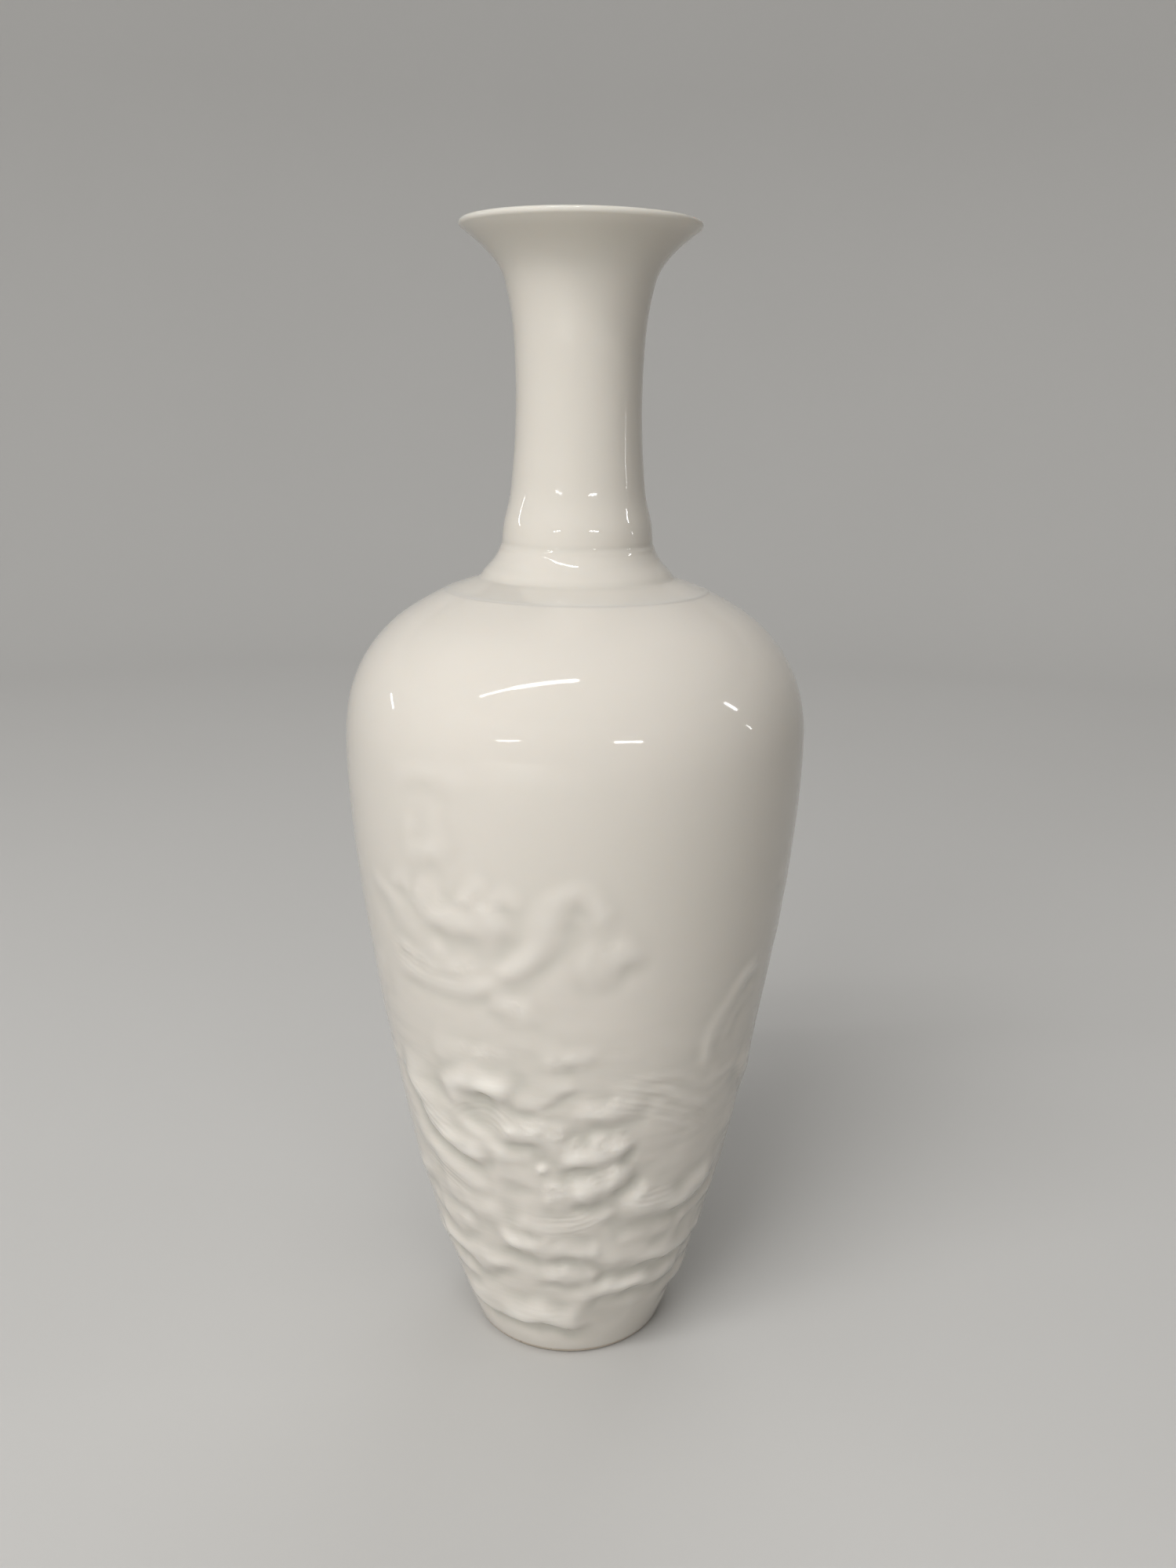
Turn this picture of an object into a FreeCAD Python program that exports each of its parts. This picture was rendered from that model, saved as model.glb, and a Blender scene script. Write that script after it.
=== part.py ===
# White porcelain amphora vase: a slender shouldered body on a narrow foot, a low shoulder ring, a coved
# collar, a tall waisted neck and a flared mouth, with waves and clouds in low relief round the body.
# It is put together as a potter does it. The foot, base, lower body, upper body, shoulder ring,
# collar, neck and mouth are turned sections that stand on each other, with thin rings of slip at the
# three joins that are luted last. The waves and clouds are rolls of clay laid on the finished wall.
# Lengths are millimetres, the origin is the centre of the foot on the table, +Z is up, -Y is the front.
import FreeCAD, Part
import math
import os

# Foot and base
foot_radius = 22.6
foot_width = 4.6
foot_chamfer = 0.8
foot_depth = 5.0
foot_taper = 0.6
base_thickness = 4.0
floor_radius = 17.0
floor_sweep = 7.0

# Body
belly_radius = 50.3
belly_height = 141.0
shoulder_rise = 35.0
seam_height = 104.0
body_wall = 3.2
slip_thickness = 0.5

# Shoulder ring and collar
ring_radius = 28.5
ring_lip = 0.3
ring_rise = 2.7
collar_radius = 20.8
collar_rim = 0.7
collar_round = 0.5
collar_height = 7.0
collar_top_radius = 16.5

# Neck
ledge_width = 0.4
neck_wall = 2.4
band_height = 2.6
band_taper = 0.25
waist_radius = 13.2
waist_rise = 31.0
neck_height = 47.0
groove_depth = 0.3

# Mouth
mouth_height = 17.3
lip_radius = 24.75
lip_thickness = 1.5

# Rolls of clay: half widths and rises
swell_half_width = 3.0
swell_rise = 1.1
ripple_half_width = 2.1
ripple_rise = 0.8
cloud_half_width = 2.3
cloud_rise = 0.85
spray_half_width = 0.9
spray_rise = 0.5
pearl_radius = 1.5
roll_lean = 9
roll_end_share = 0.16
roll_fullness = 0.7
panels = 3

# How far cuts run past the clay, and how closely a wall's inside follows its outside
overrun = 10.0
body_stations = 12
neck_stations = 6
height_search_share = 1e-9

# How far the body outline has risen and grown: foot to belly, then belly to shoulder ring
rising_shares = [(0.065, 0.126), (0.14, 0.256), (0.32, 0.508), (0.53, 0.714), (0.74, 0.885), (0.89, 0.970)]
closing_shares = [(0.26, 0.018), (0.46, 0.098), (0.63, 0.240), (0.74, 0.382), (0.83, 0.539), (0.925, 0.775)]
# The cove of the collar, from its rounded rim to its top
cove_shares = [(0.28, 0.34), (0.58, 0.69), (0.81, 0.90)]
# The neck, from the top of its foot band to the waist, and from the waist to the mouth
neck_low_shares = [(0.15, 0.36), (0.33, 0.66), (0.60, 0.91)]
neck_high_shares = [(0.50, 0.25)]
# The mouth, from its seam to the lip, and where the seam lies between waist and lip
seam_radius_share = 0.085
mouth_shares = [(0.25, 0.078), (0.455, 0.174), (0.61, 0.320), (0.77, 0.556), (0.89, 0.778)]

# Courses of the rolls in one panel: degrees round from the front, and shares of the body's height
swell_low_shares = [
    [(-56, 0.098), (-44, 0.080), (-28, 0.071), (-12, 0.070), (1, 0.076), (8, 0.096)],
    [(12, 0.126), (22, 0.130), (34, 0.122), (45, 0.127), (54, 0.143)],
]
swell_middle_shares = [
    [(-52, 0.168), (-40, 0.156), (-27, 0.153), (-14, 0.158), (-2, 0.154)],
    [(-25, 0.212), (-14, 0.204), (-4, 0.201), (6, 0.203), (13, 0.214)],
    [(14, 0.176), (26, 0.178), (38, 0.178), (49, 0.190)],
]
swell_high_shares = [
    [(18, 0.272), (28, 0.261), (38, 0.256), (49, 0.258), (58, 0.273)],
    [(-1, 0.285), (6, 0.298), (13, 0.322)],
    [(-54, 0.268), (-42, 0.250), (-31, 0.243), (-22, 0.252)],
]
wave_back_shares = [
    [(-54, 0.408), (-44, 0.381), (-32, 0.347), (-20, 0.327)],
    [(-55, 0.345), (-44, 0.317), (-33, 0.295)],
    [(-22, 0.388), (-10, 0.373), (2, 0.362), (11, 0.368), (18, 0.384)],
]
wave_crest_shares = [
    [(-46, 0.424), (-43, 0.456), (-36, 0.481), (-25, 0.491), (-15, 0.480), (-11, 0.455), (-14, 0.434)],
    [(-7, 0.424), (-4, 0.455), (2, 0.478), (10, 0.487), (17, 0.480)],
]
crescent_shares = [
    [(39, 0.478), (43, 0.520), (50, 0.561), (58, 0.590)],
]
spray_shares = [
    [(12, 0.449), (24, 0.437), (36, 0.421), (48, 0.401)],
    [(14, 0.427), (26, 0.412), (38, 0.392), (48, 0.371)],
    [(24, 0.389), (34, 0.371), (44, 0.350)],
    [(24, 0.460), (34, 0.452), (45, 0.440)],
]
cloud_scroll_shares = [
    [(-21, 0.580), (-15, 0.602), (-11, 0.636), (-9, 0.672), (-3, 0.700), (4, 0.700), (8, 0.676)],
    [(1, 0.612), (8, 0.630), (16, 0.638), (25, 0.634)],
]
cloud_bank_shares = [
    [(-52, 0.672), (-47, 0.696), (-40, 0.705), (-34, 0.694)],
    [(-30, 0.682), (-25, 0.704), (-19, 0.704), (-15, 0.684)],
    [(28, 0.660), (34, 0.680), (42, 0.688), (50, 0.680)],
]
cloud_band_shares = [
    [(-59, 0.640), (-50, 0.622), (-40, 0.608)],
    [(-47, 0.580), (-37, 0.568), (-27, 0.574)],
    [(-16, 0.556), (-6, 0.566), (4, 0.572)],
]
cloud_wisp_shares = [
    [(-48, 0.740), (-40, 0.780), (-30, 0.804), (-20, 0.800)],
    [(10, 0.752), (20, 0.766), (32, 0.762)],
]
pearl_shares = [(-8, 0.327), (-4, 0.402), (2, 0.396), (-27, 0.432), (21, 0.505), (27, 0.497)]

V = FreeCAD.Vector

# Heights of the joins, all measured from the table
floor_height = foot_depth + base_thickness
ring_height = belly_height + shoulder_rise
collar_base = ring_height + ring_rise
neck_base = collar_base + collar_height
mouth_base = neck_base + neck_height
vase_height = mouth_base + mouth_height
neck_foot_radius = collar_top_radius - ledge_width
mouth_seam_radius = waist_radius + seam_radius_share * (lip_radius - waist_radius)


def spline(points, end_run=None):
    """A smooth curve through (radius, height) points, leaving the last one along end_run if given."""
    places = [V(radius, 0, height) for radius, height in points]
    curve = Part.BSplineCurve()
    if end_run is None:
        curve.interpolate(places)
        return curve
    first_run = places[1] - places[0]
    curve.interpolate(Points=places, InitialTangent=first_run, FinalTangent=V(end_run[0], 0, end_run[1]))
    return curve


def line(start, end):
    return Part.makeLine(V(start[0], 0, start[1]), V(end[0], 0, end[1]))


def turned(edges):
    """The solid that a closed half section makes in one turn of the wheel."""
    return Part.Face(Part.Wire(edges)).revolve(V(0, 0, 0), V(0, 0, 1), 360)


def between(start, end, shares):
    """Points from start to end, each so far up and so far out as its two shares say."""
    (r0, z0), (r1, z1) = start, end
    return [(r0 + grown * (r1 - r0), z0 + up * (z1 - z0)) for up, grown in shares]


def at_height(curve, height):
    """The parameter where a rising curve passes a height."""
    low, high = curve.FirstParameter, curve.LastParameter
    while high - low > curve.LastParameter * height_search_share:
        middle = (low + high) / 2
        if curve.value(middle).z < height:
            low = middle
        else:
            high = middle
    return low


def inset(curve, first, wall, count):
    """Points one wall inside a curve and square to it, from parameter first to the curve's end."""
    points = []
    for i in range(count):
        u = first + (curve.LastParameter - first) * i / (count - 1)
        place, run = curve.value(u), curve.tangent(u)[0]
        points.append((place.x - wall * run.z, place.z + wall * run.x))
    return points


def body_curve():
    foot, belly = (foot_radius, foot_chamfer), (belly_radius, belly_height)
    ring = (ring_radius, ring_height)
    points = [foot] + between(foot, belly, rising_shares) + [belly] + between(belly, ring, closing_shares)
    return spline(points + [ring])


def collar_curve():
    rim = (collar_radius - collar_round, collar_base + collar_rim + collar_round)
    top = (collar_top_radius, neck_base - slip_thickness)
    return spline([rim] + between(rim, top, cove_shares) + [top])


def neck_curve():
    band = (neck_foot_radius - band_taper, neck_base + band_height)
    waist = (waist_radius, neck_base + waist_rise)
    top = (mouth_seam_radius, mouth_base)
    low = between(band, waist, neck_low_shares)
    return spline([band] + low + [waist] + between(waist, top, neck_high_shares) + [top])


def lip_point(out, up):
    """A point of the round lip, on the diagonal that runs out and up from its centre as asked."""
    half = lip_thickness / 2
    reach = half * math.sqrt(0.5)
    return lip_radius - half + out * reach, vase_height - half + up * reach


def mouth_curve():
    start, end = (mouth_seam_radius, mouth_base), lip_point(1, -1)
    return spline([start] + between(start, end, mouth_shares) + [end], (1, 1))


body = body_curve()
collar = collar_curve()
neck = neck_curve()
mouth = mouth_curve()


def ends(curve):
    first, last = curve.value(curve.FirstParameter), curve.value(curve.LastParameter)
    return (first.x, first.z), (last.x, last.z)


def outer_form():
    """The whole vase as one solid lump: every section is a slice of it, hollowed."""
    foot, ring = ends(body)
    bottom = (foot_radius - foot_chamfer, 0)
    ring_edge = (ring_radius - ring_lip, ring_height + ring_lip)
    rim_base, rim = (collar_radius, collar_base), (collar_radius, collar_base + collar_rim)
    cove_start, cove_end = ends(collar)
    groove_low = (collar_top_radius - groove_depth, neck_base - slip_thickness)
    groove_high = (groove_low[0], neck_base)
    band = (neck_foot_radius, neck_base)
    band_top, neck_end = ends(neck)
    lip_corners = [lip_point(1, -1), lip_point(1, 1), lip_point(-1, 1)]
    lip_arc = Part.Arc(*[V(radius, 0, height) for radius, height in lip_corners])
    lip_inner = lip_corners[-1]
    crown = (0, lip_inner[1])
    return turned([
        line((0, 0), bottom), line(bottom, foot), body.toShape(), line(ring, ring_edge),
        line(ring_edge, rim_base), line(rim_base, rim), line(rim, cove_start), collar.toShape(),
        line(cove_end, groove_low), line(groove_low, groove_high), line(groove_high, band),
        line(band, band_top), neck.toShape(), mouth.toShape(), lip_arc.toShape(),
        line(lip_inner, crown), line(crown, (0, 0)),
    ])


def hollow_form():
    """The space inside the vase, from the floor to the mouth."""
    floor = (floor_radius, floor_height)
    start = at_height(body, floor_height + floor_sweep)
    body_inside = inset(body, start, body_wall, body_stations)
    inner_body = spline([floor] + body_inside)
    run = V(ring_radius - collar_radius, 0, -ring_rise).normalize()
    throat_low = (collar_radius + body_wall * run.z, collar_base - body_wall * run.x)
    throat_high = (neck_foot_radius - neck_wall, neck_base)
    neck_inside = inset(neck, neck.FirstParameter, neck_wall, neck_stations)
    neck_inside = [throat_high] + neck_inside[1:]
    inner_neck = spline(neck_inside)
    seam, lip_inner = neck_inside[-1], lip_point(-1, 1)
    inner_mouth = spline([seam] + between(seam, lip_inner, mouth_shares) + [lip_inner], (1, 1))
    above = vase_height + overrun
    return turned([
        line((0, floor_height), floor), inner_body.toShape(), line(body_inside[-1], throat_low),
        line(throat_low, throat_high), inner_neck.toShape(), inner_mouth.toShape(),
        line(lip_inner, (lip_inner[0], above)), line((lip_inner[0], above), (0, above)),
        line((0, above), (0, floor_height)),
    ])


def slab(low, high):
    """A wide flat disc between two heights, for slicing sections off the whole form."""
    wide = max(belly_radius, lip_radius) + overrun
    return Part.makeCylinder(wide, high - low, V(0, 0, low))


def recess():
    """The hollow under the base, inside the foot ring, a little wider at the table."""
    table_radius = foot_radius - foot_width
    top_radius = table_radius - foot_taper
    return turned([
        line((0, 0), (table_radius + foot_chamfer, 0)),
        line((table_radius + foot_chamfer, 0), (table_radius, foot_chamfer)),
        line((table_radius, foot_chamfer), (top_radius, foot_depth)),
        line((top_radius, foot_depth), (0, foot_depth)),
        line((0, foot_depth), (0, 0)),
    ])


def sections(form, hollow):
    """The turned sections and slip seams, foot to lip, each sliced off the form and hollowed."""
    joins = [
        ("foot_ring", 0), ("base_disc", foot_depth), ("lower_body", floor_height),
        ("body_seam", seam_height), ("upper_body", seam_height + slip_thickness),
        ("shoulder_ring", ring_height), ("collar", collar_base),
        ("neck_seam", neck_base - slip_thickness), ("neck", neck_base),
        ("mouth_seam", mouth_base - slip_thickness), ("mouth", mouth_base),
    ]
    tops = [height for _, height in joins[1:]] + [vase_height + overrun]
    made = {}
    for (name, low), high in zip(joins, tops):
        made[name] = form.common(slab(low, high)).cut(hollow)
    made["foot_ring"] = made["foot_ring"].cut(recess())
    return made


def on_wall(angle, share):
    """The point of the outside wall at an angle from the front and a share of the body's height."""
    u = at_height(body, share * ring_height)
    place, run = body.value(u), body.tangent(u)[0]
    turn = math.radians(angle)
    across, front = math.sin(turn), -math.cos(turn)
    point = V(place.x * across, place.x * front, place.z)
    outward = V(run.z * across, run.z * front, -run.x)
    return point, outward


def smooth_course(course):
    """The course of a roll with extra stations, so that the clay bends evenly between its points."""
    curve = Part.BSplineCurve()
    curve.interpolate([V(math.radians(angle), share, 0) for angle, share in course])
    count = 2 * len(course) + 1
    stations = []
    for i in range(count):
        u = curve.FirstParameter + (curve.LastParameter - curve.FirstParameter) * i / (count - 1)
        place = curve.value(u)
        stations.append((math.degrees(place.x), place.y))
    return stations


def roll(course, half_width, rise, form):
    """A roll of clay along a course: oval in section, leaning down the wall, pointed at both ends.
    Each oval starts at its buried side, so that the roll has one unbroken face outside the wall."""
    stations = [on_wall(angle, share) for angle, share in smooth_course(course)]
    last = len(stations) - 1
    lean = math.radians(roll_lean)
    ovals = []
    for i, (point, outward) in enumerate(stations):
        run = (stations[min(last, i + 1)][0] - stations[max(0, i - 1)][0]).normalize()
        side = outward.cross(run).normalize()
        rising = run.cross(side)
        full = roll_end_share + (1 - roll_end_share) * math.sin(math.pi * i / last) ** roll_fullness
        wide = side * math.cos(lean) + rising * math.sin(lean)
        high = rising * math.cos(lean) - side * math.sin(lean)
        oval = Part.Ellipse(point + wide * half_width * full, point + high * rise * full, point)
        ovals.append(Part.Wire(oval.toShape(-math.pi / 2, 3 * math.pi / 2)))
    return Part.makeLoft(ovals, True, False).cut(form)


def pearl(angle, share, form):
    """A drop of clay on the wall, as a fleck of foam."""
    point, _ = on_wall(angle, share)
    return Part.makeSphere(pearl_radius, point).cut(form)


def all_round(motifs):
    """The motifs of one panel, set out again for every panel round the body."""
    copies = []
    for i in range(panels):
        for motif in motifs:
            copy = motif.copy()
            copy.rotate(V(0, 0, 0), V(0, 0, 1), 360 * i / panels)
            copies.extend(copy.Solids)
    return Part.makeCompound(copies)


def relief(form):
    """The waves and clouds: each named group of rolls is laid in every panel."""
    rolls = {
        "swell_low": (swell_low_shares, swell_half_width, swell_rise),
        "swell_middle": (swell_middle_shares, ripple_half_width, ripple_rise),
        "swell_high": (swell_high_shares, swell_half_width, swell_rise),
        "wave_backs": (wave_back_shares, swell_half_width, swell_rise),
        "wave_crests": (wave_crest_shares, ripple_half_width, swell_rise),
        "wave_crescents": (crescent_shares, swell_half_width, swell_rise),
        "spray_lines": (spray_shares, spray_half_width, spray_rise),
        "cloud_scrolls": (cloud_scroll_shares, cloud_half_width, cloud_rise),
        "cloud_banks": (cloud_bank_shares, cloud_half_width, cloud_rise),
        "cloud_bands": (cloud_band_shares, ripple_half_width, ripple_rise),
        "cloud_wisps": (cloud_wisp_shares, ripple_half_width, ripple_rise),
    }
    made = {}
    for name, (courses, half_width, rise) in rolls.items():
        made[name] = all_round([roll(course, half_width, rise, form) for course in courses])
    made["foam_pearls"] = all_round([pearl(angle, share, form) for angle, share in pearl_shares])
    return made


form = outer_form()
pieces = sections(form, hollow_form())
pieces.update(relief(form))

os.makedirs("parts", exist_ok=True)
for name, shape in pieces.items():
    shape.exportStep(f"parts/{name}.step")
    box = shape.BoundBox
    print(f"{name}: {len(shape.Solids)} solids, {shape.Volume:.0f} mm3, z {box.ZMin:.2f} to {box.ZMax:.2f}")
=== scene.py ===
# %% [markdown]
# # A white porcelain vase, dressed for the camera
# The vase was thrown in sections, luted together, worked with waves and clouds in low relief, then
# dipped in a thick clear glaze and fired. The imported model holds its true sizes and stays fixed.
# This lesson models the skin that the glaze makes over those sections, ring by ring as a potter
# sees it, raises the relief out of the wall, and finishes the glaze, the bare foot and the light.

# %% Load the fixed frame
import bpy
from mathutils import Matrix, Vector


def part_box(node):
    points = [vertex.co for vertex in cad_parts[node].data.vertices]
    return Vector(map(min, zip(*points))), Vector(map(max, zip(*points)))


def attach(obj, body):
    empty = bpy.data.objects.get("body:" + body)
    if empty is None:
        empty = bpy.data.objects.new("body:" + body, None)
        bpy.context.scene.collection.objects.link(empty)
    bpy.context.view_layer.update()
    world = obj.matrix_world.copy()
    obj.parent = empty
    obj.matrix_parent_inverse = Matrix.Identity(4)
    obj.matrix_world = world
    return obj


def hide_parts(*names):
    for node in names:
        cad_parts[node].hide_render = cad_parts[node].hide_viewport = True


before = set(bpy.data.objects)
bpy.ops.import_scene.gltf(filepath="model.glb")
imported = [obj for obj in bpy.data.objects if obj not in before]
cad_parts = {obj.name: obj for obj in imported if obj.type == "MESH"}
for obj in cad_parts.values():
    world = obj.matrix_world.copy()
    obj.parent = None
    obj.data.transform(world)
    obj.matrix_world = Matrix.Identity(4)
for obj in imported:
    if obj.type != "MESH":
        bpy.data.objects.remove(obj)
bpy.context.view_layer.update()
print("sections and rolls in the frame:", len(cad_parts))

# %% Tools that every cell uses
import math
import bpy
import numpy as np
from mathutils import Matrix, Vector

mm = 0.001
turn = 2 * math.pi

# %% [markdown]
# ## Sizes
# Every height and reach that the frame knows is read from it, so that the skin lies exactly on the
# sections. A section's box gives its top, and its reach along X is its outer radius. What a box can't
# tell is written here in real millimetres: the foot's radius, the walls, the floor and the waist.

# %% Sizes from the frame
def top(node):
    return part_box(node)[1].z


def base(node):
    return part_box(node)[0].z


def reach(node):
    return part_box(node)[1].x


foot_radius = 22.6 * mm
foot_width = 4.6 * mm
foot_bevel = 0.8 * mm
recess_taper = 0.6 * mm
wall = 3.2 * mm
neck_wall = 2.4 * mm
lip = 1.5 * mm
floor_radius = 17 * mm
floor_sweep = 7 * mm
ledge_width = 0.4 * mm
band_height = 2.6 * mm
band_taper = 0.12 * mm
waist_radius = 13.2 * mm
waist_rise = 31 * mm
belly_height_share = 0.8011
skin_share = 0.9995
foot_depth = top("foot_ring")
floor_height = top("base_disc")
ring_height = top("upper_body")
collar_base = top("shoulder_ring")
collar_top = top("collar")
neck_base = base("neck")
mouth_base = base("mouth")
vase_height = top("mouth")
belly_radius = reach("upper_body")
belly_height = belly_height_share * ring_height
ring_radius = reach("shoulder_ring")
collar_radius = reach("collar")
neck_foot_radius = reach("neck")
collar_top_radius = neck_foot_radius + ledge_width
seam_radius = reach("mouth_seam")
lip_radius = reach("mouth")
print(f"height {vase_height / mm:.1f} mm, belly {2 * belly_radius / mm:.1f} mm across")

# %% [markdown]
# ## Smooth outlines
# A thrown wall is one long curve. Here each outline is a few stations, given as shares of the way
# between two known points, and a smooth line is drawn through them. The line bends as little as it
# can, which is what a profile template of bent spring steel does.

# %% A smooth line through stations
def smooth(points, count=400):
    """Many points on the least bent line through the given ones."""
    knots = np.array(points, float)
    steps = np.linalg.norm(np.diff(knots, axis=0), axis=1)
    along = np.concatenate([[0], np.cumsum(steps)])
    size = len(knots)
    rows = np.zeros((size, size))
    bends = np.zeros(knots.shape)
    rows[0, 0] = rows[-1, -1] = 1
    for i in range(1, size - 1):
        rows[i, i - 1] = steps[i - 1]
        rows[i, i] = 2 * (steps[i - 1] + steps[i])
        rows[i, i + 1] = steps[i]
        bends[i] = 6 * ((knots[i + 1] - knots[i]) / steps[i] - (knots[i] - knots[i - 1]) / steps[i - 1])
    curve = np.linalg.solve(rows, bends)
    places = np.linspace(0, along[-1], count)
    out = []
    for place in places:
        i = min(int(np.searchsorted(along, place, side="right")) - 1, size - 2)
        step = steps[i]
        after = (place - along[i]) / step
        before = 1 - after
        lift = (before ** 3 - before) * curve[i] + (after ** 3 - after) * curve[i + 1]
        out.append(before * knots[i] + after * knots[i + 1] + lift * step * step / 6)
    return np.array(out)


def between(start, end, shares):
    """Points from start to end, each so far up and so far out as its shares say."""
    (r0, z0), (r1, z1) = start, end
    return [(r0 + out * (r1 - r0), z0 + up * (z1 - z0)) for up, out in shares]


def inside(line, thickness):
    """The same line one wall further in, square to it."""
    run = np.gradient(line, axis=0)
    run /= np.linalg.norm(run, axis=1)[:, None]
    return line + thickness * np.column_stack([-run[:, 1], run[:, 0]])


def spaced(line, gap_at):
    """Points picked along a fine line, with gaps that depend on the height."""
    picked = [line[0]]
    travelled = 0
    for before, here in zip(line, line[1:]):
        travelled += np.linalg.norm(here - before)
        if travelled >= gap_at(here[1]):
            picked.append(here)
            travelled = 0
    picked.append(line[-1])
    return [tuple(point) for point in picked]


# %% The outlines of body, collar, neck and mouth
rising_shares = [(0.065, 0.126), (0.14, 0.256), (0.32, 0.508), (0.53, 0.714), (0.74, 0.885), (0.89, 0.970)]
closing_shares = [(0.26, 0.018), (0.46, 0.098), (0.63, 0.240), (0.74, 0.382), (0.83, 0.539), (0.925, 0.775)]
cove_shares = [(0.095, 0.100), (0.270, 0.321), (0.449, 0.559), (0.628, 0.743), (0.807, 0.892),
               (0.933, 0.972)]
neck_low_shares = [(0.070, 0.094), (0.130, 0.245), (0.218, 0.468), (0.303, 0.619), (0.391, 0.705),
                   (0.518, 0.820), (0.694, 0.935)]
neck_high_shares = [(0.50, 0.25)]
mouth_shares = [(0.25, 0.078), (0.455, 0.174), (0.61, 0.320), (0.77, 0.556), (0.89, 0.778)]

foot_point = (foot_radius, foot_bevel)
belly_point = (belly_radius, belly_height)
ring_point = (ring_radius, ring_height)
rising = between(foot_point, belly_point, rising_shares)
closing = between(belly_point, ring_point, closing_shares)
body_line = smooth([foot_point] + rising + [belly_point] + closing + [ring_point], 6000)
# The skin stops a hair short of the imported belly, so that it never stands out past it.
body_line[:, 0] *= skin_share * belly_radius / body_line[:, 0].max()

waist_point = (waist_radius, neck_base + waist_rise)
band_point = (neck_foot_radius - band_taper, neck_base + band_height)
seam_point = (seam_radius, mouth_base)
neck_low = between(band_point, waist_point, neck_low_shares)
neck_high = between(waist_point, seam_point, neck_high_shares)
diagonal = lip / 2 * math.sqrt(0.5)
lip_centre = (lip_radius - lip / 2, vase_height - lip / 2)
lip_under = (lip_centre[0] + diagonal, lip_centre[1] - diagonal)
lip_over = (lip_centre[0] - diagonal, lip_centre[1] + diagonal)
flare = between(seam_point, lip_under, mouth_shares)
neck_points = [band_point] + neck_low + [waist_point] + neck_high + [seam_point] + flare + [lip_under]
neck_line = smooth(neck_points, 3000)
print("outline drawn:", len(body_line) + len(neck_line), "points to pick from")

# %% [markdown]
# ## Camera
# The photograph was taken from close by, about as high as the neck, looking a little down. The
# camera stands where the drawn ellipses of the rings put it: its distance and height are shares of
# the vase's height, and its small turns are in degrees. The lens is as wide as a telephone's.

# %% The camera
picture_height = 36
lens_length = 31.5
camera_distance_share = 1.18918
camera_height_share = 0.85536
camera_distance = camera_distance_share * vase_height
camera_height = camera_height_share * vase_height
look_down = math.radians(15.348)
look_right = math.radians(0.575)
tilt = math.radians(0.802)

forward = Vector((math.sin(look_right) * math.cos(look_down), math.cos(look_right) * math.cos(look_down),
                  -math.sin(look_down)))
level = Vector((math.cos(look_right), -math.sin(look_right), 0))
upward = level.cross(forward)
across = math.cos(tilt) * level + math.sin(tilt) * upward
upright = math.cos(tilt) * upward - math.sin(tilt) * level
turning = Matrix((across, upright, -forward)).transposed()

lens = bpy.data.cameras.new("camera")
lens.sensor_fit = "VERTICAL"
lens.sensor_height = picture_height
lens.lens = lens_length
camera = bpy.data.objects.new("camera", lens)
camera.matrix_world = Matrix.Translation((0, -camera_distance, camera_height)) @ turning.to_4x4()
bpy.context.scene.collection.objects.link(camera)
bpy.context.scene.camera = camera
print(f"camera {camera_distance / mm:.0f} mm in front, {camera_height / mm:.0f} mm up")

# %% [markdown]
# ## The glaze skin, as a turned shell
# A lathe form is best drawn once and turned. One vertex is extruded from station to station into a
# profile, its corners are bevelled where the glaze rounds them, and a Screw modifier turns the
# profile about the axis. The Spin operator would do the same, but a modifier takes hundreds of steps
# at once. The rings lie closest where the relief will need them. Each skin is a closed solid: it runs
# up the outside, over, and down the inside, so that it has a thickness at every cut.

# %% Draw a profile and turn it
def draw_profile(name, points):
    """A chain of edges in the plane of X and Z, extruded vertex by vertex."""
    bpy.ops.object.select_all(action="DESELECT")
    bpy.ops.mesh.primitive_plane_add(size=mm, location=(points[0][0], 0, points[0][1]))
    piece = bpy.context.object
    piece.name = piece.data.name = name
    bpy.ops.object.transform_apply(location=True)
    bpy.ops.object.mode_set(mode="EDIT")
    bpy.ops.mesh.select_all(action="SELECT")
    bpy.ops.mesh.merge(type="CENTER")
    for (r0, z0), (r1, z1) in zip(points, points[1:]):
        bpy.ops.mesh.extrude_region_move(TRANSFORM_OT_translate={"value": (r1 - r0, 0, z1 - z0)})
    bpy.ops.mesh.select_all(action="SELECT")
    bpy.ops.mesh.remove_doubles(threshold=0.001 * mm)
    bpy.ops.object.mode_set(mode="OBJECT")
    return piece


def round_corners(piece, corners, width, segments=4):
    """Bevels the profile's vertices that lie at the given corners."""
    bpy.ops.object.mode_set(mode="EDIT")
    bpy.ops.mesh.select_mode(type="VERT")
    bpy.ops.mesh.select_all(action="DESELECT")
    bpy.ops.object.mode_set(mode="OBJECT")
    for vertex in piece.data.vertices:
        near = [math.hypot(vertex.co.x - r, vertex.co.z - z) for r, z in corners]
        vertex.select = min(near) < 0.01 * mm
    bpy.ops.object.mode_set(mode="EDIT")
    bpy.ops.mesh.bevel(offset=width, segments=segments, affect="VERTICES")
    bpy.ops.object.mode_set(mode="OBJECT")


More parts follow.
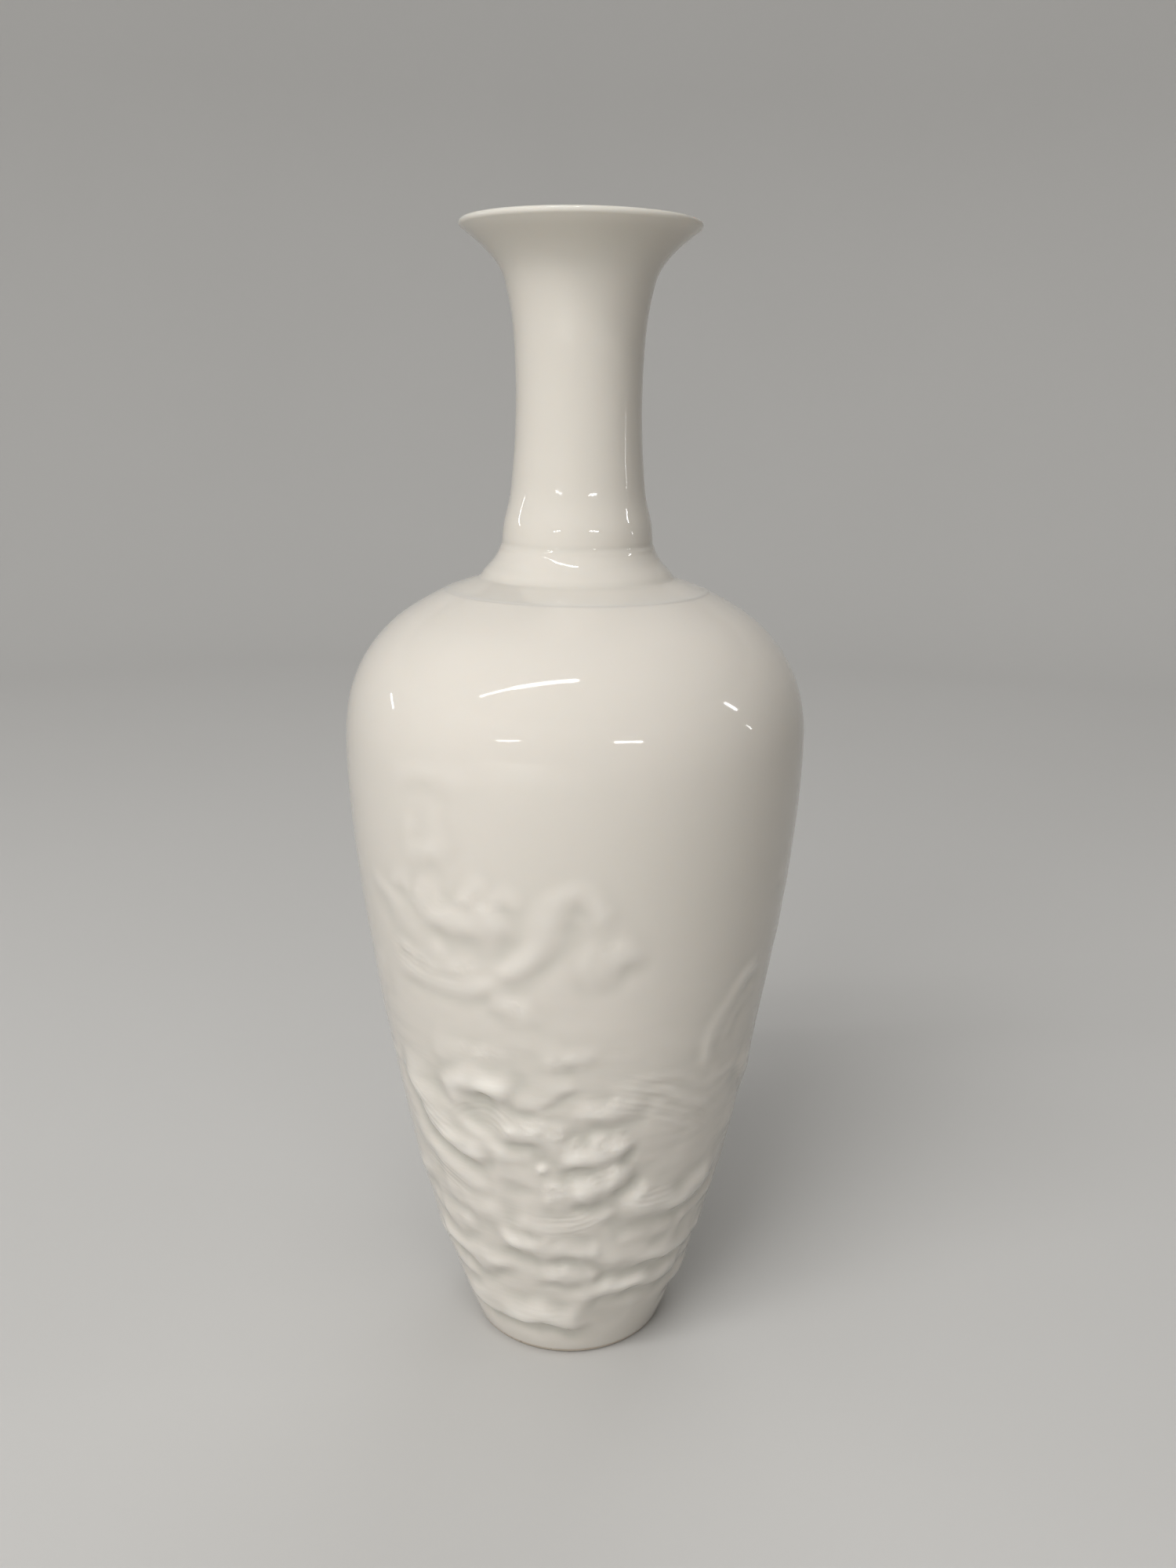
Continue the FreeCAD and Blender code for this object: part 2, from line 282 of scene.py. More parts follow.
def turn_on_lathe(piece, facets):
    """Sweeps the profile once round the axis, closes the seam and points the faces outwards."""
    lathe = piece.modifiers.new("lathe", "SCREW")
    lathe.axis = "Z"
    lathe.angle = turn
    lathe.steps = lathe.render_steps = facets
    lathe.use_merge_vertices = True
    lathe.merge_threshold = 0.002 * mm
    bpy.ops.object.modifier_apply(modifier="lathe")
    bpy.ops.object.mode_set(mode="EDIT")
    bpy.ops.mesh.select_all(action="SELECT")
    bpy.ops.mesh.remove_doubles(threshold=0.002 * mm)
    bpy.ops.mesh.normals_make_consistent(inside=False)
    bpy.ops.mesh.select_all(action="DESELECT")
    bpy.ops.object.mode_set(mode="OBJECT")
    bpy.ops.object.shade_smooth_by_angle(angle=math.radians(50))
    print(f"{piece.name}: {len(piece.data.vertices)} vertices, {len(piece.data.polygons)} faces")


# %% [markdown]
# ## The body
# The skin of the body starts under the base, comes down inside the foot, stops just above the table
# where the glaze was wiped off, and then follows the outside wall to the shoulder ring.

# %% The body's profile
facets = 384
glaze_stop_out = 1.3 * mm
glaze_stop_in = 2.2 * mm
glaze_bead = 0.12 * mm
recess_low = foot_radius - foot_width
recess_high = recess_low - recess_taper


def body_radius(height):
    return float(np.interp(height, body_line[:, 1], body_line[:, 0]))


def recess_radius(height):
    return recess_low + (recess_high - recess_low) * (height - foot_bevel) / (foot_depth - foot_bevel)


def ring_gap(height):
    """The gap between rings: fine where the waves curl, wide on the plain shoulder."""
    gaps = ((8, 1.0), (57, 0.76), (80, 0.48), (128, 0.88), (150, 1.3), (166, 1.7), (999, 1.4))
    for up_to, gap in gaps:
        if height < up_to * mm:
            return gap * mm


outside = [point for point in spaced(body_line, ring_gap) if point[1] > glaze_stop_out + 0.5 * mm]
glaze_edge = [
    (recess_radius(glaze_stop_in), glaze_stop_in),
    (body_radius(glaze_stop_out), glaze_stop_out),
    (body_radius(glaze_stop_out) + glaze_bead, glaze_stop_out + 0.25 * mm),
]
run = Vector((ring_radius - collar_radius, ring_height - collar_base)).normalized()
throat = (collar_radius + wall * run.y, collar_base - wall * run.x)
throat_top = (neck_foot_radius - neck_wall, neck_base)
throat_share = (ring_height - throat[1]) / (throat_top[1] - throat[1])
throat_at_ring = (throat[0] + throat_share * (throat_top[0] - throat[0]), ring_height)
inner_line = inside(body_line, wall)
inner_line = inner_line[inner_line[:, 1] > floor_height + floor_sweep]
floor_edge = (floor_radius, floor_height)
inner_body = smooth([floor_edge] + spaced(inner_line, lambda height: 14 * mm), 600)
inner_body = spaced(inner_body, lambda height: 8 * mm)
underside = [(0, foot_depth), (recess_high, foot_depth)]
under_the_collar = (ring_radius - 0.2 * mm, ring_height)
to_the_throat = [under_the_collar, throat_at_ring, throat]
floor = [(0, floor_height)]
body_points = underside + glaze_edge + outside + to_the_throat + inner_body[::-1] + floor
print("body profile:", len(body_points), "stations,", len(outside), "of them outside")

# %% Turn the body
body_skin = draw_profile("body_skin", body_points)
round_corners(body_skin, [underside[1]], 0.7 * mm)
turn_on_lathe(body_skin, facets)

# %% [markdown]
# ## The neck and mouth
# Shoulder ring, collar, neck and flared mouth wear one more skin. The glaze fills the corner at the
# foot of the collar with a fillet, and nearly closes the groove under the neck, so that one smooth line
# runs from the ring to the neck. Only the ring's edge is bevelled. The lip is a half circle, and the
# inside of the mouth runs parallel to the outside.

# %% The neck's profile
ring_edge_in = 0.4 * mm
ring_edge_up = 0.24 * mm
ring_edge = (ring_radius - ring_edge_in, ring_height + ring_edge_up)
collar_foot = (collar_radius + 0.2 * mm, collar_base + 0.25 * mm)
ring_top = [(ring_edge[0] + share * (collar_radius - ring_edge[0]),
             ring_edge[1] + share * (collar_base - ring_edge[1])) for share in (0.15, 0.35, 0.55, 0.72)]
fillet_steps = [(1.1, -0.33), (0.50, -0.10), (0.16, 0.12), (-0.03, 0.33)]
fillet = [(collar_radius + out * mm, collar_base + up * mm) for out, up in fillet_steps]
cove_start = (collar_radius - 0.38 * mm, collar_base + 0.79 * mm)
cove_end = (collar_top_radius + 0.05 * mm, collar_top - 0.15 * mm)
crease = (neck_foot_radius + 0.06 * mm, neck_base + 0.15 * mm)
neck_foot = [(neck_foot_radius, neck_base + 0.8 * mm),
             (neck_foot_radius - 0.03 * mm, neck_base + 1.5 * mm)]
cove = fillet + [cove_start] + between(cove_start, cove_end, cove_shares) + [cove_end, crease] + neck_foot


def cove_gap(height):
    return 0.55 * mm if collar_base + 2 * mm < height < collar_top - 2 * mm else 0.24 * mm


cove = spaced(smooth(cove, 1200), cove_gap)


def neck_gap(height):
    return 0.75 * mm if height < neck_base + 10 * mm or height > mouth_base else 1.5 * mm


outer_neck = spaced(neck_line, neck_gap)
lip_arc = []
for step in range(1, 12):
    angle = math.radians(-45 + 15 * step)
    out, up = lip / 2 * math.cos(angle), lip / 2 * math.sin(angle)
    lip_arc.append((lip_centre[0] + out, lip_centre[1] + up))

neck_inside = inside(neck_line[neck_line[:, 1] < mouth_base], neck_wall)
inner_seam = tuple(neck_inside[-1])
inner_flare = [inner_seam] + between(inner_seam, lip_over, mouth_shares) + [lip_over]
inner_stations = [throat_top] + spaced(neck_inside, lambda height: 9 * mm)[1:-1] + inner_flare
inner_neck = smooth(inner_stations, 1500)
inner_neck = spaced(inner_neck, lambda height: 0.9 * mm if height > mouth_base else 2.6 * mm)
collar_points = [(ring_radius, ring_height), ring_edge] + ring_top + cove
neck_points = collar_points + outer_neck + lip_arc + inner_neck[::-1]
neck_points += [throat_at_ring, under_the_collar, (ring_radius, ring_height)]
print("neck profile:", len(neck_points), "stations")

# %% Turn the neck
neck_skin = draw_profile("neck_skin", neck_points)
round_corners(neck_skin, [ring_edge], 0.25 * mm, segments=3)
turn_on_lathe(neck_skin, facets)

# %% [markdown]
# ## The bare foot
# Porcelain that is glazed where it stands would stick to the kiln shelf, so the potter wipes the foot
# before the firing. The bare ring is bevelled on both sides, and it is the only part that touches the
# table.

# %% Turn the foot
flat_out = foot_radius - foot_bevel
flat_in = recess_low + foot_bevel
foot_points = [
    (body_radius(glaze_stop_out), glaze_stop_out),
    (recess_radius(glaze_stop_in), glaze_stop_in),
    (recess_low, foot_bevel),
    (flat_in, 0),
    (flat_out, 0),
    (foot_radius, foot_bevel),
    (body_radius(glaze_stop_out), glaze_stop_out),
]
foot_biscuit = draw_profile("foot_biscuit", foot_points)
round_corners(foot_biscuit, foot_points[2:6], 0.25 * mm, segments=3)
turn_on_lathe(foot_biscuit, facets)

# %% [markdown]
# ## The relief, drawn on a sheet
# The waves and clouds are low relief: slip brushed on, rolled and combed before the glaze. They are
# drawn here as a carver draws them, on a sheet of paper that is then wrapped round the body. A place
# on the sheet is an angle in degrees, 0 at the front and growing to the right, and a height in
# millimetres on a body drawn 176 mm tall. Each stroke is the crest of one wave, drawn from left to
# right. It falls gently above and steeply below, and the wall is cut back a little under it.

# %% The sheet
drawn_height = 176
row_step = 0.3
steps_per_degree = 3
drawn = ring_height / drawn_height
sheet_heights = np.arange(0, drawn_height, row_step)
sheet_radii = np.interp(sheet_heights * drawn, body_line[:, 1], body_line[:, 0]) / drawn
raised = np.zeros((len(sheet_heights), 360 * steps_per_degree))
carved = np.zeros(raised.shape)
# Where rolls meet, their heights are summed as cubes, so that the higher one swallows the lower.
crowd = 3
fading_share = 0.2
rise_scale = 1.1
width_above_scale = 1.06
undercut_share = 0.46


def eased(share):
    share = np.clip(share, 0, 1)
    return share * share * (3 - 2 * share)


def patch(angles, heights, margin):
    """The rows and columns of the sheet around a few points, with a margin in millimetres."""
    low, high = min(heights) - margin, max(heights) + margin
    rows = np.nonzero((sheet_heights > low) & (sheet_heights < high))[0]
    sideways = math.degrees(margin / sheet_radii[rows].min())
    first = int((min(angles) - sideways) * steps_per_degree)
    last = int((max(angles) + sideways) * steps_per_degree) + 1
    return rows, np.arange(first, last)


def add_crest(points, rise, above, below):
    """A soft roll along a smooth course through the points, pressed unevenly as by a thumb."""
    line = smooth(points, 24 + 8 * len(points))
    rows, columns = patch(line[:, 0], line[:, 1], max(above, 3 * below))
    radii = sheet_radii[rows][:, None, None]
    across = np.radians(columns[None, :, None] / steps_per_degree - line[:, 0]) * radii
    up = sheet_heights[rows][:, None, None] - line[:, 1]
    nearest = np.argmin(across ** 2 + up ** 2, axis=2)
    line_radii = np.interp(line[:, 1], sheet_heights, sheet_radii)
    run = np.column_stack([np.gradient(np.radians(line[:, 0])) * line_radii, np.gradient(line[:, 1])])
    step = np.linalg.norm(run, axis=1)
    run /= step[:, None]
    across = np.take_along_axis(across, nearest[:, :, None], axis=2)[:, :, 0]
    up = np.take_along_axis(up, nearest[:, :, None], axis=2)[:, :, 0]
    side = run[nearest, 0] * up - run[nearest, 1] * across
    beyond = np.maximum(np.abs(run[nearest, 0] * across + run[nearest, 1] * up) - step[nearest], 0)
    distance = np.hypot(side, beyond)
    share = nearest / (len(line) - 1)
    pressed = 1 + 0.14 * np.sin(9 * share + points[0][1]) + 0.08 * np.sin(23 * share + points[0][0])
    height = rise * pressed * eased(np.minimum(share, 1 - share) / fading_share)
    width = np.where(side > 0, above, below) * (2 - pressed)
    roll = np.cos(np.minimum(distance / width, 1) * math.pi / 2) ** 2
    place = np.ix_(rows, columns % raised.shape[1])
    raised[place] += (height * roll) ** crowd
    trench = np.exp(-((distance - 1.15 * width) / (0.5 * width)) ** 2)
    carved[place] = np.maximum(carved[place], undercut_share * height * np.where(side < 0, trench, 0))


def add_lump(angle, height, radius, rise):
    """A round drop of foam, or a hollow where the rise is less than nothing."""
    rows, columns = patch([angle], [height], radius)
    across = np.radians(columns[None, :] / steps_per_degree - angle) * sheet_radii[rows][:, None]
    distance = np.hypot(across, sheet_heights[rows][:, None] - height)
    dome = np.clip(1 - (distance / radius) ** 2, 0, 1) ** 1.5
    place = np.ix_(rows, columns % raised.shape[1])
    if rise > 0:
        raised[place] += (rise * dome) ** crowd
    else:
        carved[place] = np.maximum(carved[place], -rise * dome)


print("sheet of", raised.shape[0], "by", raised.shape[1], "places")

# %% [markdown]
# ## The sea
# Swells run all the way round above the foot. They are drawn once, for the third of the vase that
# faces the camera, and repeated twice round the back, a little turned, raised and weakened each time
# so that no two thirds are alike.

# %% The low swells
# Each row is the rise, the width above and the width below the crest, and then its points.
swells = [
    (1.50, 7.5, 4.2, [(-66, 15), (-52, 13.6), (-38, 12.9), (-20, 12.6), (-4, 12.4), (8, 12.4), (17, 13.4)]),
    (0.85, 4.5, 4.0, [(-4, 17), (3, 19.6), (10, 21.6), (20, 22.4), (34, 22.2), (48, 22.6), (62, 24)]),
    (0.50, 4.0, 3.4, [(-72, 25), (-62, 22.5), (-52, 21.8), (-44, 23.5)]),
    (0.75, 4.5, 3.8, [(-66, 31), (-54, 29.3), (-42, 28), (-32, 28), (-22, 30)]),
    (0.70, 4.5, 3.6, [(-12, 29.5), (-6, 27.8), (2, 27.2), (8, 27.8), (13, 30)]),
    (0.90, 4.5, 4.2, [(-28, 37.5), (-20, 36), (-11, 35.6), (-3, 35.8), (4, 38)]),
    (0.85, 4.0, 4.0, [(-2, 36.5), (3, 34.8), (8, 34.4), (13, 36)]),
    (0.85, 6.0, 4.4, [(4, 34.5), (12, 32.6), (22, 31.4), (32, 30.6), (44, 30.2), (58, 30.2), (68, 32)]),
    (0.40, 4.0, 3.2, [(-24, 43), (-12, 41.6), (0, 41.6), (8, 43.4), (14, 46.4), (18, 50)]),
    (1.10, 6.5, 5.0, [(14, 52.5), (19, 49.4), (26, 46.8), (34, 45.2), (44, 45.2), (54, 47), (64, 50)]),
    (0.45, 3.5, 3.2, [(42, 37), (50, 39), (58, 39.4), (68, 38.5)]),
    (1.15, 6.0, 5.0, [(-1, 51), (4, 52.2), (9, 53.8), (14, 56), (18, 59.5)]),
    (0.50, 5.5, 4.0, [(-10, 50.5), (-3, 50.4), (4, 51.8)]),
    (0.60, 5.0, 3.8, [(-54, 47), (-44, 45.2), (-36, 43.6), (-28, 42.4), (-21, 42.4)]),
    (0.40, 5.0, 4.2, [(-58, 38.5), (-46, 37.5), (-36, 38)]),
    (0.35, 4.0, 3.2, [(18, 38.5), (30, 37.5), (42, 38)]),
]

# %% The breaking wave
waves = [
    (1.35, 8.0, 5.2, [(-62, 77), (-54, 71.5), (-47, 66), (-39, 61.6), (-31, 59.4), (-23, 59)]),
    (0.70, 3.2, 6.0, [(-46, 72), (-37, 68.6), (-29, 65), (-22, 61.5), (-17.5, 57), (-15.5, 51.5)]),
    (0.50, 5.5, 6.0, [(-64, 61.5), (-52, 57), (-43, 54), (-34, 51.4), (-26, 50.2)]),
    (0.80, 5.0, 4.0, [(-22, 66.8), (-16, 67.2), (-10, 66.6), (-5, 65.2), (-1, 62.8)]),
    (0.95, 6.0, 4.2, [(-5, 61.8), (2, 61.8), (9, 62.2), (14, 63.6), (18.5, 66.5)]),
    (0.55, 4.5, 3.6, [(0, 72.8), (6, 72.4), (13, 73.2), (18, 75.4), (21, 78)]),
    (1.45, 6.0, 5.4, [(-39, 70), (-36, 74.6), (-31, 77.8), (-25.5, 78.6), (-20.5, 77.4), (-15.5, 75)]),
    (0.45, 5.5, 1.8, [(-19, 75.4), (-12, 75), (-6, 77), (3, 78.6)]),
    (0.35, 5.0, 5.0, [(-44, 84), (-34, 84.5), (-24, 84.2), (-15, 87.5)]),
    (0.28, 4.5, 4.5, [(-9, 84.5), (-4, 86.2), (2, 87), (7, 85.5)]),
]
hollows = [(-28, 71, 6, -0.45), (-18, 57, 4.5, -0.4), (-19, 51.5, 5, -0.55), (-20.5, 45.5, 4.5, -0.45),
           (19, 13.5, 6, -0.35), (8, 31, 3.2, -0.30), (26, 57, 9, -0.3)]
pearls = [(-8.5, 58.4, 1.5, 1.6), (-6.5, 50.8, 1.8, 0.4), (-3.5, 53.5, 1.6, 0.35), (3, 66.6, 1.5, 0.3)]

# %% Patches of foam
# Each row is a place, the patch's reach along and up in millimetres, and the rise of its drops.
foam = [
    (-11, 69.4, 4.5, 2.6, 0.42), (-4.5, 68, 3.0, 2.8, 0.42), (-8, 73, 3.5, 1.8, 0.30),
    (3, 64.5, 3.5, 3.0, 0.42), (10, 65.5, 5.0, 3.0, 0.42), (15.5, 67, 3.0, 2.6, 0.36),
    (9, 74.5, 4.5, 2.0, 0.34), (14, 76, 3.0, 1.8, 0.30), (-5, 52.6, 4.5, 3.0, 0.40),
    (6, 56.2, 6.5, 3.0, 0.42), (12, 58.4, 4.5, 2.2, 0.36), (-18, 68, 3.0, 2.0, 0.28),
    (-3, 29.5, 5.0, 2.2, 0.28), (23, 51, 4.5, 2.4, 0.25), (-12, 38.5, 9.0, 2.2, 0.20),
    (-36, 118, 9.0, 3.2, 0.16), (-22, 120.5, 8.0, 3.6, 0.15), (-44, 104, 10.0, 3.4, 0.18),
    (-28, 105, 5.0, 2.6, 0.20),
    (-14, 98, 4.0, 3.0, 0.22), (8, 112, 5.0, 2.4, 0.20), (-38, 131, 6.0, 7.0, 0.08), (-3, 86, 5.0, 2.4, 0.22),
    (-26, 86, 8.0, 2.4, 0.20),
]

# %% Spray that the wind drags off the crest
spray = [
    (0.30, 1.6, 1.5, [(8, 79), (18, 78), (28, 75.6), (38, 72), (50, 67)]),
    (0.24, 1.5, 1.4, [(12, 76), (22, 74.2), (32, 71), (43, 66.4)]),
    (0.20, 1.4, 1.3, [(18, 73), (26, 70.4), (34, 67.2), (44, 62)]),
    (0.20, 1.4, 1.3, [(14, 81.4), (26, 79.8), (38, 76.4), (52, 71.5)]),
]

# %% [markdown]
# ## The clouds
# Above the sea the relief is fainter. A scroll curls over at the front with banks of cloud to its
# left, and a long crescent rises on the right. Higher up there are only wisps, which the thick glaze
# nearly hides.

# %% Clouds
clouds = [
    (0.36, 4.6, 4.0, [(-21, 105), (-15.5, 106.6), (-10.5, 109.2), (-7.6, 113), (-5.6, 117.4), (-2.4, 121.2),
                      (1.6, 122.2)]),
    (0.26, 3.4, 3.2, [(-7, 119.2), (-3.6, 122.4), (0.8, 123.4), (5, 121.8), (7, 118.2), (5, 115.2)]),
    (0.32, 5.0, 4.4, [(-1, 108.6), (5, 108), (11, 109.6), (16.5, 113)]),
    (0.50, 5.8, 5.0, [(-43, 117.5), (-36, 116), (-28, 115.4), (-20, 116.6), (-13, 118.4)]),
    (0.24, 4.4, 3.6, [(-62, 119), (-53, 115.8), (-45, 111.6), (-37, 108.4), (-30, 106.6)]),
    (0.24, 2.2, 1.8, [(-52, 107), (-44, 105.2), (-35, 104.2), (-27, 105.2)]),
    (0.30, 3.6, 3.4, [(-54, 100.4), (-45, 100.6), (-34, 100.6), (-22, 101.8), (-15, 104)]),
    (0.22, 4.0, 3.5, [(-22, 99.5), (-16, 97.4), (-10, 93)]),
    (0.36, 2.8, 4.8, [(41, 76), (41.2, 84), (44.5, 92), (50.5, 98.2), (62, 103)]),
    (0.24, 2.8, 2.8, [(46, 79), (48, 86), (52, 91.4), (61, 95.4)]),
    (0.26, 2.8, 2.6, [(43, 79), (47, 76), (53, 75.4), (61, 78)]),
    (0.22, 2.2, 2.6, [(-51, 119), (-48.5, 121.6), (-45.5, 121.8), (-43, 119.6)]),
    (0.22, 2.2, 2.6, [(-41, 118.8), (-38.5, 121.2), (-35.5, 121), (-33, 118.6)]),
    (0.26, 2.6, 2.8, [(-29, 119), (-25, 122), (-21.5, 124), (-18.5, 121.8)]),
    (0.24, 2.4, 2.8, [(-18, 120), (-15.5, 122.6), (-12.5, 122.4), (-10.5, 119.4)]),
    (0.14, 3.4, 3.0, [(-48, 142.4), (-42, 144.6), (-35, 145.6), (-28, 145), (-22, 143)]),
    (0.09, 2.8, 2.8, [(-43, 127), (-41, 132), (-42, 137)]),
    (0.10, 2.8, 2.8, [(-34, 126.5), (-31.5, 131), (-32, 136), (-31, 141)]),
    (0.20, 3.2, 4.0, [(-44, 127.5), (-37, 128.8), (-30, 130)]),
]

# %% Draw all three thirds
thirds = [(0, 0, 1.0), (121, 1.2, 0.95), (239, -1.4, 0.9)]
for number, (turned, lifted, strength) in enumerate(thirds):
    for order, (rise, above, below, points) in enumerate(swells + waves + spray + clouds):
        sway = 2.5 * math.sin(2.1 * order * number)
        bob = lifted + 1.1 * math.sin(1.3 * order * number)
        moved = [(angle + turned + sway, height + bob) for angle, height in points]
        add_crest(moved, rise_scale * rise * strength, width_above_scale * above, below)
    for order, (angle, height, radius, rise) in enumerate(pearls + hollows):
        sway = 1.5 * math.sin(1.7 * order * number)
        add_lump(angle + turned + sway, height + lifted, radius, rise * strength)
print(f"rolls up to {raised.max() ** (1 / crowd):.2f} mm high, hollows to {carved.max():.2f} mm")

# %% [markdown]
# ## Foam and brush strokes
# Foam has no outline that could be drawn, so it is scattered: seeded specks are blurred into drops and
# shown only inside the patches. Other specks, blurred much more along than up, give the streaks of
# the brush that laid the slip on the sea. All are the same each time, because their seeds are.
# Broader specks push each place of the drawing a little to one side, so that no roll keeps an even
# width. At the two sides the outline in the photograph is nearly smooth, so there most of the
# relief is pressed away.

# %% Blur and scatter
def blurred(sheet, up, along=None):
    """The sheet under a bell-shaped blur, its height and length given in millimetres."""
    down = np.fft.fftfreq(sheet.shape[0], row_step)[:, None]
    round_it = np.fft.fftfreq(sheet.shape[1], sheet_radii.mean() * turn / sheet.shape[1])[None, :]
    bell = np.exp(-2 * math.pi ** 2 * ((up * down) ** 2 + ((along or up) * round_it) ** 2))
    return np.real(np.fft.ifft2(np.fft.fft2(sheet) * bell))


def scattered(seed, up, along):
    """Seeded specks, blurred to the given height and length, mostly between -1 and 1."""
    specks = blurred(np.random.default_rng(seed).standard_normal(raised.shape), up, along)
    return specks / (2 * specks.std())


def add_foam(drops, angle, height, along, up, rise):
    """Shows the drops inside an oval patch that fades towards its edge."""
    rows, columns = patch([angle], [height], max(along, up))
    across = np.radians(columns[None, :] / steps_per_degree - angle) * sheet_radii[rows][:, None] / along
    fade = eased(1.6 * (1 - np.hypot(across, (sheet_heights[rows][:, None] - height) / up)))
    place = np.ix_(rows, columns % raised.shape[1])
    frothed[place] = np.maximum(frothed[place], rise * fade * np.clip(0.4 + 0.7 * drops[place], 0, 1))
    foamy[place] = np.maximum(foamy[place], 2.4 * rise * fade)


foam_scale = 1.45
pressed_away_share = 0.7
side_angles = (79, 281)
side_spread = 19
frothed = np.zeros(raised.shape)
foamy = np.zeros(raised.shape)
drops = scattered(5, 0.55, 0.75)
for turned, lifted, strength in thirds:
    for angle, height, along, up, rise in foam:
        add_foam(drops, angle + turned, height + lifted, along, up, rise * strength)
sea = eased((sheet_heights - 9) / 8) * eased((112 - sheet_heights) / 45)
strokes = 0.10 * scattered(8, 0.6, 3.5) + 0.09 * scattered(9, 1.5, 6.0)
rows_off = np.round(scattered(11, 2.2, 3.0) * 3.2).astype(int)
columns_off = np.round(scattered(12, 2.2, 3.0) * 4.0).astype(int)
rows = np.clip(np.arange(raised.shape[0])[:, None] + rows_off, 0, raised.shape[0] - 1)
columns = (np.arange(raised.shape[1])[None, :] + columns_off) % raised.shape[1]
rolled = (raised ** (1 / crowd) - carved)[rows, columns] * (1 + 0.28 * scattered(13, 2.6, 3.6))
sheet_angles = np.arange(raised.shape[1]) / steps_per_degree
sides = sum(np.exp(-((sheet_angles - side) / side_spread) ** 2) for side in side_angles)
relief = rolled + foam_scale * frothed + sea[:, None] * strokes
relief *= 1 - pressed_away_share * sides
print(f"highest {relief.max():.2f} mm, deepest {relief.min():.2f} mm")

# %% [markdown]
# ## Raising the relief
# A glaze softens what it covers, so the drawing is blurred by about half a millimetre. The same
# blur, made wider, tells where the glaze gathers, wherever the smooth surface lies above the real one,
# and where it runs thin. Where it gathers, the colour is also darkened as painted shade. Two vertex
# groups then hold how far each point is raised or cut back, and two Displace modifiers move the wall
# along its own normals.

# %% Soften the sheet
melt_width = 0.60
pooling_and_shade_width = 2.4
softened = blurred(relief, melt_width)
spread = blurred(relief, pooling_and_shade_width) - softened
# Painted shade, partly pooled glaze: the hollows get a darker, greener colour.
pooled_and_shaded = np.clip(spread / 0.36, 0, 1)
thinned_and_lit_lip = np.clip(-spread / 0.42, 0, 1)
brushed = np.repeat(sea[:, None], raised.shape[1], axis=1)
print(f"after the blur: {softened.max():.2f} and {softened.min():.2f} mm")

# %% Read the sheet at each vertex
def on_sheet(sheet, places):
    """The sheet's values at vertices, read between the four nearest places."""
    angles = np.degrees(np.arctan2(places[:, 0], -places[:, 1])) % 360 * steps_per_degree
    heights = np.clip(places[:, 2] / drawn / row_step, 0, len(sheet_heights) - 1.001)
    column, row = angles.astype(int), heights.astype(int)
    right, upper = angles - column, heights - row
    beside = (column + 1) % sheet.shape[1]
    column = column % sheet.shape[1]
    low = sheet[row, column] * (1 - right) + sheet[row, beside] * right
    high = sheet[row + 1, column] * (1 - right) + sheet[row + 1, beside] * right
    return low * (1 - upper) + high * upper


def places_of(piece):
    places = np.empty(3 * len(piece.data.vertices))
    piece.data.vertices.foreach_get("co", places)
    return places.reshape(-1, 3)


def paint(piece, name, values):
    """Keeps one number for each vertex under a name that a material can read."""
    layer = piece.data.attributes.new(name, "FLOAT", "POINT")
    layer.data.foreach_set("value", np.asarray(values, np.float32))


places = places_of(body_skin)
reaches = np.hypot(places[:, 0], places[:, 1])
wall_reaches = np.interp(places[:, 2], body_line[:, 1], body_line[:, 0])
skin_depth = 0.4 * mm
relief_base = 3 * mm
relief_top = ring_height - 5 * mm
outer = (reaches > wall_reaches - skin_depth) & (places[:, 2] > relief_base) & (places[:, 2] < relief_top)
lifts = np.where(outer, on_sheet(softened, places), 0)
for name, sheet in (("pooled_and_shaded", pooled_and_shaded), ("thinned_and_lit_lip", thinned_and_lit_lip), ("brushed", brushed), ("foamy", foamy)):
    paint(body_skin, name, np.where(outer, on_sheet(sheet, places), 0))
print(int((np.abs(lifts) > 0.01).sum()), "vertices carry relief")

# %% Lift and cut the wall
def displace(piece, name, amounts):
    """Moves the vertices along their normals by the given millimetres, all of one sign."""
    furthest = float(np.abs(amounts).max())
    group = piece.vertex_groups.new(name=name)
    for index in np.nonzero(np.abs(amounts) > 0.002)[0]:
        group.add([int(index)], float(abs(amounts[index]) / furthest), "REPLACE")
    modifier = piece.modifiers.new(name, "DISPLACE")
    modifier.direction = "NORMAL"
    modifier.mid_level = 0
    modifier.strength = math.copysign(furthest * drawn, amounts.sum())
    modifier.vertex_group = name
    bpy.ops.object.modifier_apply(modifier=name)
    piece.vertex_groups.clear()


bpy.ops.object.select_all(action="DESELECT")
body_skin.select_set(True)
bpy.context.view_layer.objects.active = body_skin
displace(body_skin, "raised", np.maximum(lifts, 0))
displace(body_skin, "carved", np.minimum(lifts, 0))
print("the body now reaches", round(float(np.hypot(*places_of(body_skin)[:, :2].T).max()) / mm, 2), "mm")

# %% [markdown]
# ## Comb marks
# The finest lines on the waves were drawn with a comb, closer together than the rings of the mesh.
# The mesh only carries where they are: one number for how strongly a place is combed, and another for
# its distance in millimetres from a guiding line. A material can draw lines of any fineness from a
# distance, because it changes evenly between vertices.

